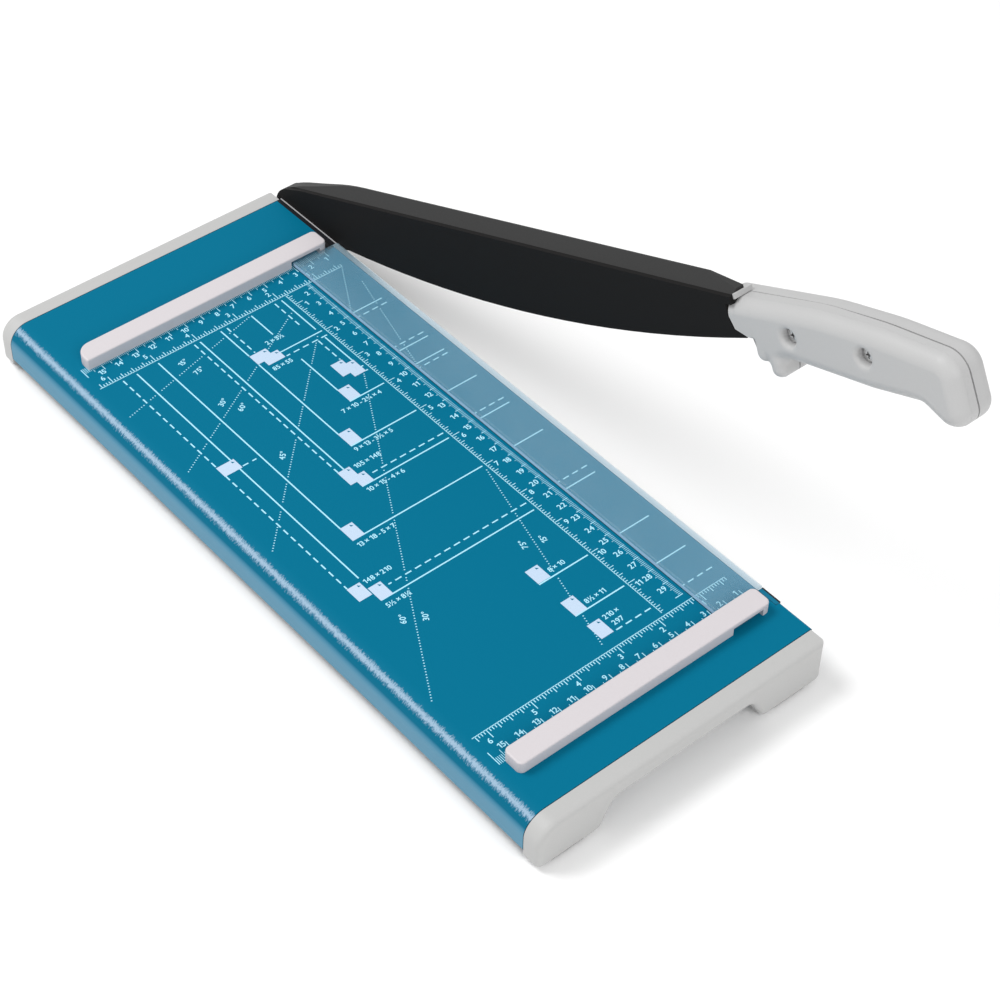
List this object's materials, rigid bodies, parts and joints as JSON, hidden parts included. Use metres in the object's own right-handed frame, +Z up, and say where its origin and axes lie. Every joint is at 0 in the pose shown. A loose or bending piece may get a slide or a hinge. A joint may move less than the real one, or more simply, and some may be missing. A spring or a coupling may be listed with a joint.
{
  "type": "lever arm paper cutter",
  "caption": "Desk paper cutter: sheet deck with printed scales and stops, clear clamp strip, and a hinged curved blade arm with a moulded handle.",
  "frame": {"origin": "middle of the whole outline on the table, with the arm raised as in the picture", "axes": "+Z up, +X across the deck towards the blade side, +Y along the deck towards the pivot, handle end at -Y"},
  "size_m": [0.1942, 0.4684, 0.2148],
  "materials": {
    "deck_blue": "satin",
    "light_grey": "satin",
    "pad_rubber": "matte",
    "plain_steel": "satin",
    "screw_steel": "satin",
    "rail_black": "satin",
    "knife_steel": "satin",
    "block_iron": "matte",
    "bush_brass": "satin",
    "blade_black": "satin",
    "arm_black": "satin",
    "clear_strip": "gloss",
    "spring_steel": "satin"
  },
  "bodies": {
    "base": {"deck_plate": "deck_blue", "front_end_cap": "light_grey", "back_end_cap": "light_grey", "front_left_pad": "pad_rubber", "front_right_pad": "pad_rubber", "back_left_pad": "pad_rubber", "back_right_pad": "pad_rubber", "deck_end_bars": "plain_steel", "deck_ribs": "plain_steel", "cap_screws": "screw_steel", "edge_rail": "rail_black", "bed_knife": "knife_steel", "knife_screws": "screw_steel", "pivot_block": "block_iron", "block_screws": "screw_steel", "pivot_bush": "bush_brass", "limit_pin": "screw_steel", "front_stop": "light_grey", "back_stop": "light_grey", "stop_screws": "screw_steel"},
    "arm": {"upper_blade": "blade_black", "arm_bar": "arm_black", "blade_screws": "screw_steel", "pivot_shaft": "plain_steel", "wear_washer": "plain_steel", "disc_spring": "spring_steel", "hub_washer": "plain_steel", "hub_nut": "screw_steel", "handle_left_shell": "light_grey", "handle_right_shell": "light_grey", "handle_screws": "screw_steel", "handle_nuts": "screw_steel"},
    "clamp": {"clamp_plate": "clear_strip", "clamp_lift_bar": "plain_steel", "guide_post": "plain_steel", "post_clip": "spring_steel", "clamp_spring": "spring_steel"}
  },
  "joints": [
    {"name": "arm_swing", "type": "hinge", "parent": "base", "child": "arm", "pos_m": [0.07485, 0.21268, 0.0195], "axis": [-1, 0, 0], "range_deg": [-22.5, 38]},
    {"name": "clamp_lift", "type": "slide", "parent": "base", "child": "clamp", "axis": [0, 0, 1], "range_m": [-0.0008, 0.0013], "deforming": ["clamp_spring"]}
  ],
  "couplings": [
    {"joint": "clamp_lift", "follows": "arm_swing", "m_per_rad": 0.0018}
  ]
}
